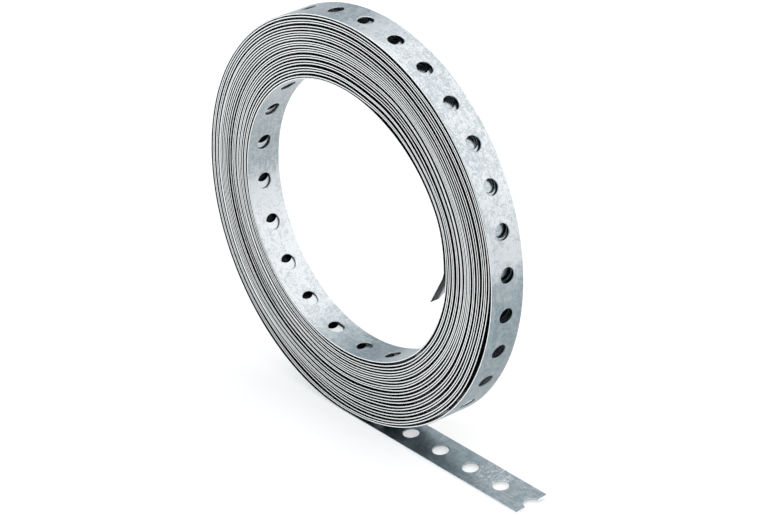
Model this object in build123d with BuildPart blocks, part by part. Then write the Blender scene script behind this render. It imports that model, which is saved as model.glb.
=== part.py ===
"""Coil of perforated mounting strap, standing on its rim with its free end on the floor.

Galvanised steel strap with a row of round holes along its middle, wound flat on itself.
Lengths are in millimetres. The coil's axis runs along Y, the free end lies along +X on the
floor (Z = 0), and the origin is on the floor under the coil's axis, at the middle of the width.
"""
import os
from math import cos, degrees, pi, radians, sin

from build123d import *

# Strap
strap_width = 17.0
strap_thickness = 0.75
hole_diameter = 7.0
hole_pitch = 18.6

# Coil
bore_radius = 61.7
bore_shift = 2.1  # the turns lie closer on the side away from the free end, so the bore sits off centre
turn_count = 24
turn_gap = 0.47  # between one turn and the next, as a mean
edge_slip = 0.5  # how far a group of turns has slipped along the axis, out of one face of the coil
slip_shares = (0, -1, 1, 0)  # slip of each group of turns, from the rim to the bore

# Slack of the outer turn, which stands off the next one before it dips under the free end
slack_height = 1.6
slack_angle = 320.0  # degrees round the coil, from +X towards +Z, where the gap is widest
slack_spread = 32.0  # degrees to either side, where it closes

# Free ends
tail_length = 105.8  # from under the axis to the cut, which runs through the middle of a hole
inner_end_length = 16.5
inner_end_bend = 28.0  # degrees that the inner end turns in from the bore's wall
inner_end_angle = 0.0  # degrees round the coil, from +X towards +Z, where it leaves the wall
inner_end_to_hole = 0.0  # from the inner cut to the middle of its hole, which the cut runs through

# Worked out from the sizes above
hole_radius = hole_diameter / 2
turn_pitch = strap_thickness + turn_gap
coil_radius = bore_radius + turn_count * turn_pitch
outer_turn_radius = coil_radius - strap_thickness / 2
inner_turn_radius = bore_radius + strap_thickness / 2
axis_point = Vector(0, 0, coil_radius)
bore_point = axis_point - Vector(bore_shift, 0, 0)
floor_angle = 270.0


def outward(angle):
    """Unit vector away from the coil's axis, at an angle in degrees from +X towards +Z."""
    return Vector(cos(radians(angle)), 0, sin(radians(angle)))


def onward(angle):
    """Unit vector along the strap at that angle, towards the inner end."""
    return Vector(sin(radians(angle)), 0, -cos(radians(angle)))


def surface_plane(middle, angle, radius):
    """Plane that touches a turn round that middle at an angle, facing away from the middle."""
    return Plane(middle + outward(angle) * radius, z_dir=outward(angle))


def in_section(point):
    """Place of a point in the plane across the coil's axis, as across and up."""
    return (point.X, point.Z)


def hole_runs(first, last):
    """Distances along the strap of the holes from the first one up to the last place."""
    return [first + step * hole_pitch for step in range(int((last - first) // hole_pitch) + 1)]


def clears_tail(angle):
    """True where a radial drill on the rim stays above the tail, which hides the holes below."""
    drill_end = axis_point + outward(angle) * (coil_radius + turn_pitch)
    return drill_end.X < 0 or drill_end.Z - hole_radius * abs(cos(radians(angle))) > strap_thickness


# Holes of the outer turn, counted from the cut end of the tail
outer_runs = hole_runs(0, tail_length + 2 * pi * outer_turn_radius)
tail_places = [(tail_length - run, 0) for run in outer_runs if run <= tail_length]
rim_angles = [
    floor_angle - degrees((run - tail_length) / outer_turn_radius)
    for run in outer_runs
    if run > tail_length
]
rim_planes = [
    surface_plane(axis_point, angle, coil_radius) for angle in rim_angles if clears_tail(angle)
]

# Holes of the inner turn, counted from the cut of the inner end
inner_runs = hole_runs(inner_end_to_hole, 2 * pi * inner_turn_radius - hole_diameter)
bore_angles = [
    inner_end_angle + degrees((run - inner_end_length) / inner_turn_radius)
    for run in inner_runs
    if run >= inner_end_length
]
bore_planes = [surface_plane(bore_point, angle, bore_radius) for angle in bore_angles]

# The inner end leaves the wall as a straight strip, turned in towards the axis
inner_end_root = bore_point + outward(inner_end_angle) * inner_turn_radius
inner_end_facing = inner_end_angle - inner_end_bend
inner_end_direction = onward(inner_end_facing)
inner_end_plane = Plane(inner_end_root, x_dir=inner_end_direction, z_dir=(0, -1, 0))
inner_end_planes = [
    Plane(
        inner_end_root + inner_end_direction * (inner_end_length - run),
        z_dir=outward(inner_end_facing),
    )
    for run in inner_runs
    if run < inner_end_length
]

# Circles between the groups of turns, from the rim to the bore
group_count = len(slip_shares)
ring_shares = [step / group_count for step in range(group_count + 1)]
ring_middles = [axis_point + (bore_point - axis_point) * share for share in ring_shares]
ring_radii = [coil_radius + (bore_radius - coil_radius) * share for share in ring_shares]

# The slack gap lies between the outer turn and a circle set off from it, away from the gap
slack_shift = slack_height / (1 - cos(radians(slack_spread)))
slack_middle = axis_point - outward(slack_angle) * slack_shift
slack_radius = coil_radius - strap_thickness - slack_height + slack_shift

with BuildPart() as perforated_strap:
    # Wound turns, in groups that have slipped along the axis
    for group, slip_share in enumerate(slip_shares):
        with BuildSketch(Plane.XZ.offset(-slip_share * edge_slip)):
            with Locations(in_section(ring_middles[group])):
                Circle(ring_radii[group])
            with Locations(in_section(ring_middles[group + 1])):
                Circle(ring_radii[group + 1], mode=Mode.SUBTRACT)
        extrude(amount=strap_width / 2, both=True)

    # Gap under the slack of the outer turn
    with BuildSketch(Plane.XZ):
        with Locations(in_section(axis_point)):
            Circle(coil_radius - strap_thickness)
        with Locations(in_section(slack_middle)):
            Circle(slack_radius, mode=Mode.SUBTRACT)
    extrude(amount=strap_width / 2, both=True, mode=Mode.SUBTRACT)

    # Tail along the floor
    with BuildSketch(Plane.XZ):
        Rectangle(tail_length, strap_thickness, align=(Align.MIN, Align.MIN))
    extrude(amount=strap_width / 2, both=True)

    # Inner end, bent into the bore
    with BuildSketch(inner_end_plane):
        Rectangle(inner_end_length, strap_thickness, align=(Align.MIN, Align.CENTER))
    extrude(amount=strap_width / 2, both=True)

    # Perforation: through the free ends, and down to the next turn where the strap is wound
    with Locations(*tail_places, *rim_planes, *bore_planes):
        Hole(hole_radius, depth=turn_pitch)
    with Locations(*inner_end_planes):
        Hole(hole_radius, depth=strap_thickness)

perforated_strap.part.label = "perforated_strap"

os.makedirs("parts", exist_ok=True)
export_step(perforated_strap.part, "parts/perforated_strap.step")
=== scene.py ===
# Coil of perforated mounting strap: the real strap, wound turn on turn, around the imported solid.
import math

import bpy
import numpy as np
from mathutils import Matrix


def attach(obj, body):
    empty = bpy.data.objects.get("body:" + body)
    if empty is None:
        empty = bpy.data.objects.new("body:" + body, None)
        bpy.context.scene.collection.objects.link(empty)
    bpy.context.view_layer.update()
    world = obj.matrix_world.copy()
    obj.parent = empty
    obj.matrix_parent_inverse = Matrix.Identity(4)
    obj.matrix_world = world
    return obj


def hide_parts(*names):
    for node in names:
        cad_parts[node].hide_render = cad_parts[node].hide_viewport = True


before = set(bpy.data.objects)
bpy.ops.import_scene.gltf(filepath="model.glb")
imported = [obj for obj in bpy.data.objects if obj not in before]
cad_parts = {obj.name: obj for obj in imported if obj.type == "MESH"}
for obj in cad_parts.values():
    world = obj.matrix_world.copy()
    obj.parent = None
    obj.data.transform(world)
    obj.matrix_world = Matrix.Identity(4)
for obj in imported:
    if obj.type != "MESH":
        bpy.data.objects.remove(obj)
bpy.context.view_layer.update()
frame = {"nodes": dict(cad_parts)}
print("frame loaded:", ", ".join(frame["nodes"]))

# Lengths of the camera and the strap are in millimetres, as in the solid's source; meshes are in metres
millimetre = 0.001
coilHeight = 91.25  # of the coil's middle over the floor

camera = dict(
    azimuth=49.1,  # degrees round the coil, from the -Y side towards +X
    elevation=28.13,
    distance=1599.3,  # to the middle of the coil
    focalLength=3855.9,  # in pixels of the picture
    pictureSize=(760, 515),
    coilPixel=(362.22, 217.33),  # where the middle of the coil falls in the picture
    sensorWidth=36.0,
    nearest=10.0,  # what is closer to the camera isn't shown
)


def placeCamera(view):
    # the camera stands back from the coil's middle along the line of sight, and goes aside and up or down
    # until the middle falls on its pixel
    azimuth = math.radians(view["azimuth"])
    elevation = math.radians(view["elevation"])
    level = math.cos(elevation)
    back = np.array((math.sin(azimuth) * level, -math.cos(azimuth) * level, math.sin(elevation)))
    right = np.array((math.cos(azimuth), math.sin(azimuth), 0.0))
    up = np.cross(back, right)
    width, height = view["pictureSize"]
    perPixel = view["distance"] / view["focalLength"]
    aside = (view["coilPixel"][0] - width / 2) * perPixel
    above = (height / 2 - view["coilPixel"][1]) * perPixel
    place = np.array((0.0, 0.0, coilHeight)) + view["distance"] * back - aside * right - above * up
    lens = bpy.data.cameras.new("pictureCamera")
    lens.sensor_width = view["sensorWidth"]
    lens.lens = view["focalLength"] / width * view["sensorWidth"]
    lens.clip_start = view["nearest"] * millimetre
    stand = bpy.data.objects.new("pictureCamera", lens)
    stand.location = place * millimetre
    stand.rotation_euler = (math.pi / 2 - elevation, 0.0, azimuth)
    bpy.context.scene.collection.objects.link(stand)
    bpy.context.scene.camera = stand


placeCamera(camera)
print("camera placed")

strap = dict(
    # the band itself
    width=17.0,
    thickness=0.75,
    holeRadius=3.5,
    holePitch=18.62,
    edgeRound=0.16,  # rounding of the long slit edges
    rimRound=0.20,  # rounding of the rims of the holes
    # its free end, and its inner end
    tailLength=105.8,  # from under the coil's middle
    tailRoll=6.0,  # degrees that the free end twists on its way out, its near edge staying on the floor
    tailRollRuns=(8.0, 38.0),  # from under the coil's middle, where the twist starts and is full
    innerEndPlace=(245.0, 270.0),  # degrees of the last turn, over which its end comes off the wall
    innerEndLength=17.2,
    innerEndBend=28.0,  # degrees from upright
    bendSoftness=2.0,  # half length over which the path's corners are eased
    # the coil
    turnCount=24,
    footAngle=270.0,  # degrees round the coil at which it stands on the floor and each turn starts
    # radius of the coil round its middle: mean, then cosine and sine shares of 1, 2 and 3 waves
    outerShape=(90.21, (-0.19, -0.08), (-0.74, 0.47), (-0.09, 0.20)),
    innerShape=(61.62, (-2.11, -0.09), (1.10, -0.55), (0.37, 0.13)),
    crossover=(310.0, 360.0),  # degrees of each turn in which it goes down to the next layer
    # the gaps between turns
    seed=17,
    gapSpread=0.45,  # how unlike each other the gaps are
    gapWaves=9,
    leastGap=0.10,  # share of a mean gap that even the narrowest keeps
    pairing=1.5,  # how far the turns lie in pairs, with a wide and a narrow gap by turns
    pairingShares=(0.20, 0.80),  # of that all round, and on the two sides at the angle below alone
    pairingAngle=30.0,
    pairWaves=((1, 13.0), (2, 19.0), (3, 10.0)),  # waves round the coil, and gaps to one wave through it
    # gaps that gape: first and last gap from the rim, middle and half width in degrees, millimetres each
    looseGaps=(
        (0, 0, 343.0, 20.0, 1.75),
        (0, 0, 241.0, 17.0, 0.35),
        (1, 2, 236.0, 18.0, 0.35),
        (2, 3, 256.0, 16.0, 0.60),
        (3, 7, 281.0, 16.0, 0.30),
        (1, 7, 30.0, 32.0, 0.25),
        (22, 22, 66.0, 20.0, 0.30),
    ),
    # slip of the turns along the axis: turn number and millimetres
    slipTurns=(0.0, 5.5, 6.5, 11.5, 12.5, 17.5, 18.5, 24.0),
    slipReach=(0.0, 0.0, -0.36, -0.36, 0.36, 0.36, 0.0, 0.0),
    slipWobble=0.12,
    wobbleWaves=((47.0, 0.0), (83.0, 1.3), (171.0, 4.1)),  # millimetres of run to a radian, and phases
    wobbleTurns=(0.02, 0.4),  # turns over which the wobble sets in
    # creep of the holes along the strap: turn number and millimetres
    creepTurns=(0.0, 1.2, 1.4, 1.9, 3.0, 21.0, 21.9, 22.4, 22.9, 23.4, 23.75),
    creepReach=(0.0, 0.0, -1.8, -1.8, 0.0, 0.0, 3.4, 3.4, 3.9, 3.9, 0.0),
    # where other turns cover a face, so that little light comes to it; the material paints shade there
    outerShelterTurns=(0.93, 1.0),  # turns over which the next turn out comes over the outer face
    tailShelterRuns=(-15.0, 25.0),  # runs from the coil's foot over which the inner face gets covered
    boreShelterTurns=(-1.06, -0.98),  # turns before the inner end over which it lies open again
    # stretches of dulling and painted light: turn number, and how far the zinc is darkened there, partly
    # real dulling and partly painted shade;
    # below 0 it is painted brighter, a painted highlight, and from 1 to 2 it is painted dark all over; on
    # the free end the turn counts down from 0
    tailDarkening=((-0.19, 0.36), (-0.15, 0.30), (-0.108, 0.65), (-0.05, 0.45)),
    rimDullingAndLight=(
        (0.0, 0.40), (0.1, 0.10), (0.3, 0.10), (0.45, 0.34), (0.48, 0.05), (0.515, -0.45), (0.55, 0.0),
        (0.69, 0.05), (0.722, -0.6), (0.74, 0.50), (0.76, 0.75), (0.86, 0.82), (1.0, 0.3),
    ),
    innerDullingAndShade=(
        (1.7, 0.3), (1.76, 1.2), (2.3, 1.0), (2.4, 0.25), (2.72, 0.25), (2.76, 1.3), (3.1, 2.0),
        (21.8, 2.0),
    ),
    boreDullingAndLight=(
        (21.9, -0.4), (22.3, -0.5), (22.35, 0.0), (22.9, 0.43), (23.03, 0.43), (23.09, -0.25),
        (23.17, -0.20), (23.22, -0.45), (23.24, 0.35), (23.34, 0.35), (23.37, 0.10),
    ),
    # how fine the mesh is
    turnSteps=720,
    pathStep=0.5,
    holeSides=24,
    sharpAngle=32.0,  # degrees between two faces from which their edge looks sharp
    joinGrid=0.0001,  # points in one square of this grid become one
    joinShift=0.123,  # part of a square that the grid is moved by, so that no size falls on its lines
)


def easeStep(start, end, value):
    # 0 up to the start and 1 from the end on; between them three squares of the share less two cubes
    share = np.clip((value - start) / (end - start), 0.0, 1.0)
    return share * share * (3.0 - 2.0 * share)


def coilRadius(shape, angle):
    # mean radius plus a few waves round the turn
    radius = np.full_like(angle, shape[0])
    for wave, (cosShare, sinShare) in enumerate(shape[1:], 1):
        radius += cosShare * np.cos(wave * angle) + sinShare * np.sin(wave * angle)
    return radius


def gapShares(strap, angle):
    # share that each gap has of the room between the turns, at each angle: a little over 1, plus the tanh
    # of slow waves of its own and of waves through the coil whose sign changes from gap to gap, all over
    # the sum for the gaps
    random = np.random.default_rng(strap["seed"])
    gapCount = strap["turnCount"] - 1
    waves = np.arange(1, strap["gapWaves"] + 1)[:, None]
    phases = random.uniform(0.0, 2 * np.pi, (gapCount, strap["gapWaves"], 1))
    heights = random.normal(size=(gapCount, strap["gapWaves"], 1)) / np.sqrt(waves)
    uneven = (heights * np.cos(waves * angle + phases)).sum(1)
    uneven += random.normal(size=(gapCount, 1))
    gapNumber = np.arange(gapCount)[:, None]
    pairs = np.zeros_like(uneven)
    for wave, gapsPerWave in strap["pairWaves"]:
        phase = random.uniform(0.0, 2 * np.pi)
        pairs += np.cos(wave * angle + 2 * np.pi * gapNumber / gapsPerWave + phase)
    allRound, sides = strap["pairingShares"]
    sideways = np.cos(angle - math.radians(strap["pairingAngle"])) ** 2
    pairs *= (-1.0) ** gapNumber * (allRound + sides * sideways)
    lean = strap["gapSpread"] * uneven / uneven.std() + strap["pairing"] * pairs
    share = 1.0 + strap["leastGap"] + np.tanh(lean)
    return share / share.sum(0)


def gapingGaps(strap, angle):
    # millimetres that gaps gape by round the coil: bell curves, each over one gap or a few
    gaping = np.zeros((strap["turnCount"] - 1, angle.size))
    for first, last, middle, halfWidth, reach in strap["looseGaps"]:
        away = np.degrees(np.angle(np.exp(1j * (angle - math.radians(middle)))))
        gaping[first : last + 1] += reach * np.exp(-((away / halfWidth) ** 2))
    return gaping


def layerRadii(strap, angle):
    # radius of each layer's middle surface: the rim less the layers and gaps above it, where the gaps
    # share out what the rim, the bore and the gaping leave over; past the inner end the last layer but
    # one is the bore's wall, so the empty layer lies inside it
    outer = coilRadius(strap["outerShape"], angle)
    inner = coilRadius(strap["innerShape"], angle)
    degrees = np.degrees(math.radians(strap["footAngle"]) - angle)
    past = easeStep(*strap["innerEndPlace"], degrees) * (1 - easeStep(*strap["crossover"], degrees))
    inner -= past * (outer - inner) / strap["turnCount"]
    gaping = gapingGaps(strap, angle)
    slack = outer - inner - strap["turnCount"] * strap["thickness"] - gaping.sum(0)
    gaps = gaping + slack * gapShares(strap, angle)
    drops = np.vstack((np.zeros_like(angle), np.cumsum(gaps + strap["thickness"], axis=0)))
    print("gaps between turns: %.2f to %.2f mm" % (gaps.min(), gaps.max()))
    return outer - strap["thickness"] / 2 - drops


def strapPath(strap):
    # middle line of the strap in the XZ plane, from the cut end of the tail to the inner end:
    # straight along the floor, round and round inwards, then straight into the bore
    steps = strap["turnSteps"]
    turn = np.arange(steps) / steps
    angle = math.radians(strap["footAngle"]) - 2 * np.pi * turn
    layers = layerRadii(strap, angle)
    down = easeStep(*strap["crossover"], 360.0 * turn)
    layers[:-1] += (layers[1:] - layers[:-1]) * down
    lastTurn = strap["innerEndPlace"][1] / 360.0
    pointCount = round((strap["turnCount"] - 1 + lastTurn) * steps) + 1
    radius = layers.ravel()[:pointCount]
    around = np.tile(angle, strap["turnCount"])[:pointCount]
    coil = np.stack((radius * np.cos(around), coilHeight + radius * np.sin(around)), 1)
    tailRuns = np.arange(strap["tailLength"], strap["pathStep"], -strap["pathStep"])
    tail = np.stack((tailRuns, np.full_like(tailRuns, strap["thickness"] / 2)), 1)
    bend = math.radians(strap["innerEndBend"])
    inward = np.array((-math.sin(bend), -math.cos(bend)))
    endCount = round(strap["innerEndLength"] / strap["pathStep"])
    endRuns = np.linspace(0.0, strap["innerEndLength"], endCount)[1:, None]
    line = np.vstack((tail, coil, coil[-1] + endRuns * inward))
    coilTurns = np.arange(pointCount) / steps
    turns = np.concatenate((np.zeros(len(tail)), coilTurns, np.full(len(endRuns), coilTurns[-1])))
    return evenPath(strap, line, turns)


def evenPath(strap, line, turns):
    # the same line at even steps, its corners eased by a running mean that keeps straight runs
    run = np.concatenate(((0.0,), np.cumsum(np.hypot(*np.diff(line, axis=0).T))))
    even = np.linspace(0.0, run[-1], int(run[-1] / strap["pathStep"]) + 1)
    reach = int(strap["bendSoftness"] / strap["pathStep"])
    window = np.ones(2 * reach + 1) / (2 * reach + 1)

    def ease(values):
        before = 2 * values[0] - values[reach:0:-1]
        after = 2 * values[-1] - values[-2 : -reach - 2 : -1]
        return np.convolve(np.concatenate((before, values, after)), window, "valid")

    x, z = (ease(np.interp(even, run, line[:, column])) for column in (0, 1))
    alongX, alongZ = np.gradient(x, even), np.gradient(z, even)
    size = np.hypot(alongX, alongZ)
    return dict(run=even, x=x, z=z, alongX=alongX / size, alongZ=alongZ / size,
                turn=np.interp(even, run, turns))


def strapSlip(strap, path, run):
    # slip along the axis: whole groups of turns, and the mean of slow sine waves that spare the tail
    turn = np.interp(run, path["run"], path["turn"])
    slip = np.interp(turn, strap["slipTurns"], strap["slipReach"])
    waves = strap["wobbleWaves"]
    wobble = sum(np.sin(run / length + phase) for length, phase in waves) / len(waves)
    return slip + strap["slipWobble"] * wobble * easeStep(*strap["wobbleTurns"], turn)


def strapShelter(strap, path, flat):
    # how far light is kept off a face by the turns on it, which sets painted shade and roughness: the
    # outer face from the second turn on, and, with a minus sign, the inner face from where the tail runs
    # under the coil to the last turn
    run, height = flat[:, 0], flat[:, 2]
    turn = np.interp(run, path["run"], path["turn"])
    outer = easeStep(*strap["outerShelterTurns"], turn)
    inner = easeStep(*strap["tailShelterRuns"], run - strap["tailLength"])
    inner = inner * (1 - easeStep(*strap["boreShelterTurns"], turn - path["turn"][-1]))
    return np.where(height > 0, outer, -inner)


def strapDullingAndLight(strap, path, flat):
    # how far the zinc is dulled, painted in shade and painted brighter along the run of the strap, the
    # free end counting down to the first turn
    run = flat[:, 0]
    turn = np.interp(run, path["run"], path["turn"])
    turn += np.minimum(run - strap["tailLength"], 0.0) / (2 * np.pi * strap["outerShape"][0])
    outside = strap["tailDarkening"] + strap["rimDullingAndLight"]
    inside = strap["innerDullingAndShade"] + strap["boreDullingAndLight"]
    return np.interp(turn, *np.array(outside + inside).T)


def wrapStrap(strap, path, flat):
    # a point of the flat strap (run along it, place across it, height over its middle surface)
    # goes to the path at that run, out along the path's normal, and across along the coil's axis;
    # the free end is first turned about its near edge
    run, across, height = flat.T
    roll = math.radians(strap["tailRoll"]) * easeStep(*strap["tailRollRuns"], strap["tailLength"] - run)
    nearEdge = -strap["width"] / 2
    height = height * np.cos(roll) - (across - nearEdge) * np.sin(roll)
    across = nearEdge + (across - nearEdge) * np.cos(roll)
    turn = np.interp(run, path["run"], path["turn"])
    run = run + np.interp(turn, strap["creepTurns"], strap["creepReach"])
    place = {key: np.interp(run, path["run"], path[key]) for key in ("x", "z", "alongX", "alongZ")}
    size = np.hypot(place["alongX"], place["alongZ"])
    x = place["x"] - height * place["alongZ"] / size
    z = place["z"] + height * place["alongX"] / size
    return np.stack((x, across + strapSlip(strap, path, run), z), 1)


def squareWave(angle):
    # 1 within an eighth of a turn of angle 0, -1 within an eighth of the far side, evenly between them
    away = np.abs(np.angle(np.exp(1j * angle)))
    return np.clip(2 - away * 4 / np.pi, -1, 1)


def holeCells(strap, middles, around):
    # strap round each hole: from the cell's straight border in to the hole's shoulder, through its wall
    # to the other shoulder and back out to the border on that face, for each angle round the hole
    half = strap["thickness"] / 2
    pitch = middles[1] - middles[0]
    borderAlong = squareWave(around) * pitch / 2
    borderAcross = squareWave(around - np.pi / 2) * (strap["width"] / 2 - strap["edgeRound"])
    wall = strap["holeRadius"]
    shoulder = wall + strap["rimRound"]
    wallHalf = half - strap["rimRound"]
    rings = (
        (borderAlong, borderAcross, half),
        (shoulder * np.cos(around), shoulder * np.sin(around), half),
        (wall * np.cos(around), wall * np.sin(around), wallHalf),
        (wall * np.cos(around), wall * np.sin(around), -wallHalf),
        (shoulder * np.cos(around), shoulder * np.sin(around), -half),
        (borderAlong, borderAcross, -half),
    )
    cell = np.stack([np.stack(np.broadcast_arrays(*ring), 1) for ring in rings], 1)
    cells = np.repeat(cell[None], len(middles), axis=0)
    cells[..., 0] += middles[:, None, None]
    return cells


def slitEdges(strap, runs):
    # the two long edges: a short rounded profile carried along the strap, outer face to inner face
    half = strap["thickness"] / 2
    side = strap["width"] / 2
    rounding = strap["edgeRound"]
    across = np.array((side - rounding, side, side, side - rounding))
    edges = np.zeros((2, len(runs), len(across), 3))
    edges[..., 0] = runs[:, None]
    edges[0, ..., 1] = across
    edges[1, ..., 1] = -across
    edges[..., 2] = (half, half - rounding, rounding - half, -half)
    return edges


def cellFaces(cellIds):
    # quads from each ring of points to the next, with the number of the ring that each starts from;
    # both ends are cut through the middle of a hole, so the first and the last cell keep their inner half
    nextIds = np.roll(cellIds, -1, axis=1)
    quads = np.stack((cellIds[:, :, 1:], cellIds[:, :, :-1], nextIds[:, :, :-1], nextIds[:, :, 1:]), -1)
    kept = np.ones(quads.shape[:3], bool)
    quarter = cellIds.shape[1] // 4
    kept[0, quarter : 3 * quarter] = False
    kept[-1, :quarter] = False
    kept[-1, 3 * quarter :] = False
    rings = np.broadcast_to(np.arange(quads.shape[2]), kept.shape)
    return quads[kept], rings[kept]


def edgeFaces(edgeIds):
    # quads along both edges, with the number of the strip of the profile that each is in
    here, there = edgeIds[:, :-1], edgeIds[:, 1:]
    quads = np.stack((here[..., :-1], there[..., :-1], there[..., 1:], here[..., 1:]), -1)
    quads[1] = quads[1, ..., ::-1]
    strips = np.broadcast_to(np.arange(quads.shape[2]), quads.shape[:3])
    return quads.reshape(-1, 4), strips.ravel()


def endFaces(cellIds, edgeIds):
    # outlines of the cut ends, one to each side of the halved hole: from its wall over the outer face to
    # the slit edge, and back over the inner face
    quarter = cellIds.shape[1] // 4
    ends = []
    for end, turned in ((0, True), (-1, False)):
        for side, hole in ((0, quarter), (1, 3 * quarter)):
            rim = cellIds[end, hole]
            corner = edgeIds[side, end]
            outline = [*rim[2::-1], corner[1], corner[2], *rim[:2:-1]]
            ends.append(outline[::-1] if turned == (side == 1) else outline)
    return np.array(ends)


def strapFlat(strap, length):
    # the whole strap laid flat: points (run, across, height), faces as quads, outlines of the cut ends,
    # and which of them all are slit edges, walls of holes and shoulders of holes
    sides = strap["holeSides"]
    cellCount = round(length / strap["holePitch"])
    cells = holeCells(strap, np.linspace(0.0, length, cellCount + 1), np.arange(sides) * 2 * np.pi / sides)
    edges = slitEdges(strap, np.linspace(0.0, length, cellCount * sides // 4 + 1))
    points = np.vstack((cells.reshape(-1, 3), edges.reshape(-1, 3)))
    cellIds = np.arange(cells.size // 3).reshape(cells.shape[:3])
    edgeIds = np.arange(edges.size // 3).reshape(edges.shape[:3]) + cellIds.size
    cellQuads, rings = cellFaces(cellIds)
    edgeQuads, strips = edgeFaces(edgeIds)
    ends = endFaces(cellIds, edgeIds)
    ringKinds = np.array(("face", "holeShoulder", "shadedHoleWall", "holeShoulder", "face"))
    stripKinds = np.array(("rounding", "slitEdge", "rounding"))
    kinds = np.concatenate((ringKinds[rings], stripKinds[strips], np.full(len(ends), "slitEdge")))
    marks = {name: kinds == name for name in ("slitEdge", "shadedHoleWall", "holeShoulder")}
    return points, np.vstack((cellQuads, edgeQuads)), ends, marks


def joinPoints(strap, points, quads, ends):
    # points that fall on each other become one, and those that no face uses go
    keys = np.round(points / strap["joinGrid"] + strap["joinShift"]).astype(np.int64)
    unique, first, inverse = np.unique(keys, axis=0, return_index=True, return_inverse=True)
    inverse = inverse.reshape(-1)
    quads, ends = inverse[quads], inverse[ends]
    used = np.zeros(len(unique), bool)
    used[quads] = True
    used[ends] = True
    renumber = np.cumsum(used) - 1
    return points[first[used]], renumber[quads], renumber[ends]


def addAttribute(mesh, name, domain, values):
    # numbers or vectors that the material reads, by points or by faces
    isVector = values.ndim > 1
    added = mesh.attributes.new(name, "FLOAT_VECTOR" if isVector else "FLOAT", domain)
    added.data.foreach_set("vector" if isVector else "value", values.astype(np.float32).ravel())


def buildStrap(strap):
    path = strapPath(strap)
    length = path["run"][-1]
    points, quads, ends, marks = strapFlat(strap, length)
    flat, quads, ends = joinPoints(strap, points, quads, ends)
    placed = wrapStrap(strap, path, flat)
    mesh = bpy.data.meshes.new("woundStrap")
    mesh.from_pydata((placed * millimetre).tolist(), [], quads.tolist() + ends.tolist())
    mesh.polygons.foreach_set("use_smooth", np.ones(len(mesh.polygons), bool))
    addAttribute(mesh, "strapPlace", "POINT", flat * millimetre)
    addAttribute(mesh, "paintedCoverShade", "POINT", strapShelter(strap, path, flat))
    addAttribute(mesh, "dullingAndPaintedLight", "POINT", strapDullingAndLight(strap, path, flat))
    for name, marked in marks.items():
        addAttribute(mesh, name, "FACE", marked)
    mesh.set_sharp_from_angle(angle=math.radians(strap["sharpAngle"]))
    mesh.update()
    print("strap: %.2f m, %d holes, %d points, %d faces" % (
        length * millimetre, round(length / strap["holePitch"]), len(flat), len(mesh.polygons)))
    piece = bpy.data.objects.new("woundStrap", mesh)
    bpy.context.scene.collection.objects.link(piece)
    return piece


class Wire:
    # a socket of a shader tree: sums and products of wires and numbers add Math nodes
    def __init__(self, tree, socket=None):
        self.tree = tree
        self.socket = socket

    def node(self, kind, settings=None, values=None, output=0):
        # adds a node: its settings, then the values or links of its sockets; gives one of its outputs
        added = self.tree.nodes.new("ShaderNode" + kind)
        for name, setting in (settings or {}).items():
            setattr(added, name, setting)
        for key, value in (values or {}).items():
            if isinstance(value, Wire):
                self.tree.links.new(value.socket, added.inputs[key])
            else:
                added.inputs[key].default_value = value
        return Wire(self.tree, added.outputs[output]) if added.outputs else None

    def math(self, operation, first, second=0.0):
        return self.node("Math", {"operation": operation}, {0: first, 1: second})

    def __add__(self, other):
        return self.math("ADD", self, other)

    __radd__ = __add__

    def __mul__(self, other):
        return self.math("MULTIPLY", self, other)

    __rmul__ = __mul__

    def __sub__(self, other):
        return self.math("SUBTRACT", self, other)

    def __rsub__(self, other):
        return self.math("SUBTRACT", other, self)

    def __abs__(self):
        return self.math("ABSOLUTE", self)

    def atLeast(self, other):
        return self.math("MAXIMUM", self, other)

    def atMost(self, other):
        return self.math("MINIMUM", self, other)

    def band(self, low, high):
        # 0 up to the low value, 1 from the high one on, eased between them
        settings = {"interpolation_type": "SMOOTHSTEP"}
        return self.node("MapRange", settings, {"Value": self, "From Min": low, "From Max": high})

    def mix(self, first, second, blend="MIX"):
        # colours: the first where this wire is 0, the second, or its product with the first, where it is 1
        settings = {"data_type": "RGBA", "blend_type": blend}
        return self.node("Mix", settings, {0: self, 6: first, 7: second}, 2)

    def noise(self, pattern, output=0):
        # clouds by their scale, detail and roughness; three scales stretch them along each axis
        scale, detail, roughness = pattern
        if isinstance(scale, tuple):
            stretched = self.node("VectorMath", {"operation": "MULTIPLY"}, {0: self, 1: scale})
            return stretched.noise((1.0, detail, roughness), output)
        values = {"Vector": self, "Scale": scale, "Detail": detail, "Roughness": roughness}
        return self.node("TexNoise", None, values, output)


def newMaterial(name):
    # a material with no nodes yet, and the wire that starts its tree
    material = bpy.data.materials.new(name)
    material.use_nodes = True
    material.node_tree.nodes.clear()
    return material, Wire(material.node_tree)


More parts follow.
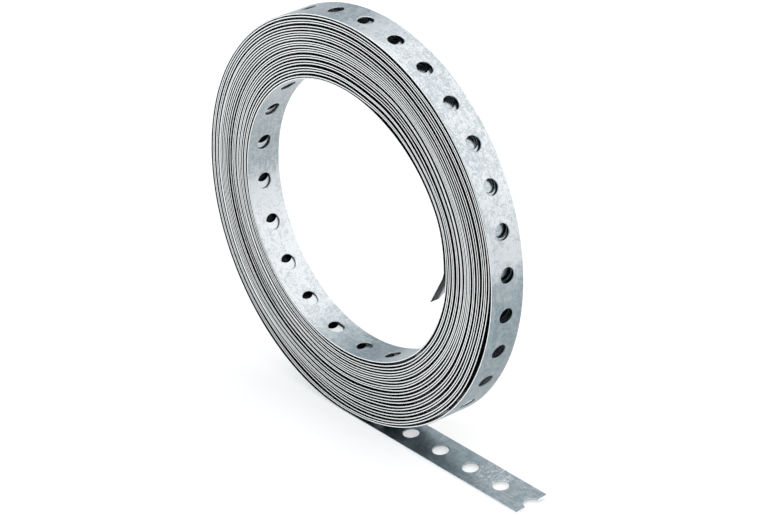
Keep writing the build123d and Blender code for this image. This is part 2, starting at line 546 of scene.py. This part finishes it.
zinc = dict(
    dull=(0.36, 0.405, 0.43, 1.0),
    bright=(0.58, 0.61, 0.63, 1.0),
    dullingAndPaintedLight=(0.44, 0.53, 0.56, 1.0),  # what the zinc's colour is multiplied by where it is fully dulled, partly real dulling and partly painted shade
    scuff=(0.76, 0.775, 0.785, 1.0),
    stain=(0.27, 0.30, 0.31, 1.0),
    cut=(0.975, 0.985, 0.985, 1.0),
    cutShade=(0.865, 0.885, 0.885, 1.0),
    # painted shade: near black, on covered faces towards their edges and round their holes, and on turns
    # deep in the coil
    paintedCoverShade=(0.008, 0.009, 0.010, 1.0),
    # painted shade on the walls of the holes, darker than their bare cut steel
    shadedHoleWall=(0.30, 0.34, 0.355, 1.0),
    # patterns: scale to the metre, or scales along, across and through the strap, detail and roughness
    mottle=(330.0, 5.0, 0.62),
    fine=(1650.0, 3.0, 0.6),
    bloom=(38.0, 3.0, 0.5),
    streak=((60.0, 900.0, 1.0), 4.0, 0.6),
    scuffLine=((170.0, 1100.0, 1.0), 5.0, 0.7),
    scuffPatch=(24.0, 2.0, 0.5),
    rubbing=((700.0, 420.0, 1.0), 4.0, 0.7),
    speck=(1500.0, 2.0, 0.5),
    cutGrain=((900.0, 300.0, 3000.0), 3.0, 0.6),
    warp=(700.0, 2.0, 0.5),
    warpReach=0.0012,  # metres that the borders of the spangle are bent by
    spangle=520.0,  # grains to the metre
    # bands: the values at which what a pattern draws starts and is full
    toneBand=(-0.195, 0.205),
    scuffLineBand=(0.60, 0.72),
    scuffPatchBand=(0.50, 0.66),
    rubbingBand=(0.50, 0.62),
    speckBand=(0.70, 0.77),
    speckPatchBand=(0.40, 0.62),
    cutBand=(0.30, 0.75),
    paintedShadeBand=(1.0, 2.0),  # of the dulling and painted light values, from fully dulled to painted dark all over
    edgeBand=(0.0038, 0.0050),  # metres from the strap's middle line at which the painted shade on covered faces starts and is full
    rubbedPlace=(0.026, 0.004, 0.0),  # on the free end: run, across and height, in metres
    rubbedReach=(0.013, 0.004),  # metres from there at which the rubbing ends and is full
    # shares of the patterns in the zinc's tone, its patches of dulling, its roughness and its relief
    toneShares=dict(grain=0.24, mottle=0.32, fine=1.3, bloom=0.5, streak=0.45),
    patchShares=dict(bloom=0.8, mottle=2.0, fine=1.5),
    roughnessShares=dict(mottle=0.16, grain=0.10),
    reliefShares=dict(grain=0.6, mottle=0.8, fine=0.5),
    paintedHighlight=0.5,  # painted highlight: added to the tone where the dulling and painted light value is -1
    scuffCover=0.75,
    stainCover=0.55,
    roughness=0.36,
    cutRoughness=0.46,
    scuffPolish=0.06,  # taken off the roughness
    shelterPolish=0.45,  # share taken off it on covered outer faces, as seen through the rim's holes
    scuffRelief=0.6,
    reliefDepth=0.00012,
    reliefStrength=0.35,
)


def vary(base, patterns, shares):
    # the base plus each pattern's departure from its middle value, a half, times its share
    for name, share in shares.items():
        base = base + share * (patterns[name] - 0.5)
    return base


def zincPatterns(place, finish):
    # spangle, with a tone for each cell between bent borders, and clouds from 26 mm across down to 0.6 mm
    values = {0: place.noise(finish["warp"], 1), 1: (finish["warpReach"],) * 3, 2: place}
    warped = place.node("VectorMath", {"operation": "MULTIPLY_ADD"}, values)
    cells = warped.node("TexVoronoi", {"feature": "F1"}, {"Vector": warped, "Scale": finish["spangle"]}, 1)
    patterns = {name: place.noise(finish[name]) for name in ("mottle", "fine", "bloom", "streak")}
    return dict(patterns, grain=cells.node("SeparateColor", None, {0: cells}))


def zincScuffs(place, finish):
    # bright scuffs: lines along the strap in some patches of it, and a rubbed place on the free end
    lines = place.noise(finish["scuffLine"]).band(*finish["scuffLineBand"])
    patches = place.noise(finish["scuffPatch"]).band(*finish["scuffPatchBand"])
    away = place.node("VectorMath", {"operation": "DISTANCE"}, {0: place, 1: finish["rubbedPlace"]}, 1)
    rubbing = place.noise(finish["rubbing"]).band(*finish["rubbingBand"])
    return (lines * patches).atLeast(away.band(*finish["rubbedReach"]) * rubbing)


def zincColour(place, marks, patterns, scuff, finish):
    # between dull and bright by the tone, darkened in patches by real dulling and by painted shade, raised
    # by a painted highlight, then scuffs, specks and the painted shade of covered faces towards edges and
    # holes; slit edges have their own colour, and walls of holes are painted in shade
    dullingAndLight = marks["dullingAndPaintedLight"]
    # painted highlight: the tone is raised where the values are below 0
    tone = vary(0.0, patterns, finish["toneShares"]) - finish["paintedHighlight"] * dullingAndLight.atMost(0.0)
    colour = tone.band(*finish["toneBand"]).mix(finish["dull"], finish["bright"])
    # darkened in patches: real dulling and painted shade
    dullingAndShade = dullingAndLight.atLeast(0.0) * vary(1.0, patterns, finish["patchShares"])
    colour = dullingAndShade.mix(colour, finish["dullingAndPaintedLight"], "MULTIPLY")
    # painted shade: turns deep in the coil go dark all over
    colour = dullingAndLight.band(*finish["paintedShadeBand"]).mix(colour, finish["paintedCoverShade"])
    colour = (scuff * finish["scuffCover"]).mix(colour, finish["scuff"])
    speckPatch = patterns["bloom"].band(*finish["speckPatchBand"])
    speck = place.noise(finish["speck"]).band(*finish["speckBand"]) * speckPatch
    colour = (speck * finish["stainCover"]).mix(colour, finish["stain"])
    # painted shade on covered faces, towards their edges and round their holes
    across = place.node("SeparateXYZ", None, {0: place}, 1)
    nearEdge = abs(across).band(*finish["edgeBand"]).atLeast(marks["holeShoulder"])
    colour = (abs(marks["paintedCoverShade"]) * nearEdge).mix(colour, finish["paintedCoverShade"])
    cutTone = place.noise(finish["cutGrain"]).band(*finish["cutBand"])
    colour = marks["slitEdge"].mix(colour, cutTone.mix(finish["cutShade"], finish["cut"]))
    # painted shade on the walls of the holes
    return marks["shadedHoleWall"].mix(colour, finish["shadedHoleWall"])


def zincRoughness(marks, patterns, scuff, finish):
    # varies with mottle and spangle, less on scuffs and covered outer faces; slit edges have their own
    rough = vary(finish["roughness"], patterns, finish["roughnessShares"]) - finish["scuffPolish"] * scuff
    rough = rough * (1 - finish["shelterPolish"] * marks["paintedCoverShade"].atLeast(0.0))
    return rough * (1 - marks["slitEdge"]) + finish["cutRoughness"] * marks["slitEdge"]


def zincMaterial(finish):
    material, start = newMaterial("galvanisedSteel")
    place = start.node("Attribute", {"attribute_name": "strapPlace"}, None, "Vector")
    names = ("paintedCoverShade", "dullingAndPaintedLight", "slitEdge", "shadedHoleWall", "holeShoulder")
    marks = {name: start.node("Attribute", {"attribute_name": name}, None, "Fac") for name in names}
    patterns = zincPatterns(place, finish)
    scuff = zincScuffs(place, finish)
    height = vary(0.0, patterns, finish["reliefShares"]) + finish["scuffRelief"] * scuff
    relief = start.node("Bump", None, {
        "Strength": finish["reliefStrength"],
        "Distance": finish["reliefDepth"],
        "Height": height,
    })
    steel = start.node("BsdfPrincipled", None, {
        "Base Color": zincColour(place, marks, patterns, scuff, finish),
        "Metallic": 1.0,
        "Roughness": zincRoughness(marks, patterns, scuff, finish),
        "Normal": relief,
    })
    start.node("OutputMaterial", None, {"Surface": steel})
    return material


woundStrap = buildStrap(strap)
woundStrap.data.materials.append(zincMaterial(zinc))
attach(woundStrap, "root")
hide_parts("perforated_strap")
print("strap wound and finished")

paleFloor = dict(
    reach=20.0,  # metres each way from the middle
    drop=0.00002,  # metres under the strap, so that their faces don't fall together
    colour=(0.95, 0.95, 0.95, 1.0),
    roughness=0.9,
    white=0.5,  # share of plain white in the floor as it is seen, which softens the shadow on it
)


def layFloor(look):
    # a flat square, matt to the light, and mixed with plain white where the camera or a reflection sees it
    square = np.array(((-1, -1), (1, -1), (1, 1), (-1, 1))) * look["reach"]
    corners = np.column_stack((square, np.full(len(square), -look["drop"])))
    mesh = bpy.data.meshes.new("floor")
    mesh.from_pydata(corners.tolist(), [], [(0, 1, 2, 3)])
    floor = bpy.data.objects.new("floor", mesh)
    bpy.context.scene.collection.objects.link(floor)
    material, start = newMaterial("paleFloor")
    matt = start.node("BsdfPrincipled", None, {
        "Base Color": look["colour"],
        "Roughness": look["roughness"],
        "Specular IOR Level": 0.0,
    })
    seen = start.node("LightPath", None, None, "Is Camera Ray")
    for ray in ("Is Glossy Ray", "Is Transmission Ray"):
        seen = seen.atLeast(start.node("LightPath", None, None, ray))
    white = start.node("Emission", None, {"Color": (1.0, 1.0, 1.0, 1.0), "Strength": 1.0})
    shown = start.node("MixShader", None, {0: seen * look["white"], 1: matt, 2: white})
    start.node("OutputMaterial", None, {"Surface": shown})
    mesh.materials.append(material)


softLamp = dict(
    strength=0.90,
    spread=55.0,  # degrees
    turn=(46.0, 0.0, -20.0),  # degrees about X, Y and Z from straight down
)


def hangLamp(look):
    lamp = bpy.data.lights.new("softLamp", "SUN")
    lamp.energy = look["strength"]
    lamp.angle = math.radians(look["spread"])
    hung = bpy.data.objects.new("softLamp", lamp)
    hung.rotation_euler = np.radians(look["turn"])
    bpy.context.scene.collection.objects.link(hung)


studioRoom = dict(
    shade=(0.58, 0.65, 0.70, 1.0),
    glow=(1.64, 1.62, 1.60, 1.0),
    glowTowards=(0.525, 0.578, 0.625),  # middle of the large soft light, behind on the right
    glowEdge=(0.30, 0.54),  # cosines of the angles from its middle at which it ends and is full
)


def lightRoom(look):
    # shade all round, and a large soft light by the cosine of the angle from its middle
    room = bpy.data.worlds.new("studioRoom")
    bpy.context.scene.world = room
    room.use_nodes = True
    room.node_tree.nodes.clear()
    start = Wire(room.node_tree)
    facing = start.node("TexCoord", None, None, "Generated")
    values = {0: facing, 1: look["glowTowards"]}
    towards = facing.node("VectorMath", {"operation": "DOT_PRODUCT"}, values, 1)
    glow = towards.band(*look["glowEdge"]).mix(look["shade"], look["glow"])
    light = start.node("Background", None, {"Color": glow, "Strength": 1.0})
    start.node("OutputWorld", None, {"Surface": light})


layFloor(paleFloor)
hangLamp(softLamp)
lightRoom(studioRoom)
bpy.context.scene.view_settings.view_transform = "Standard"
print("studio lit")
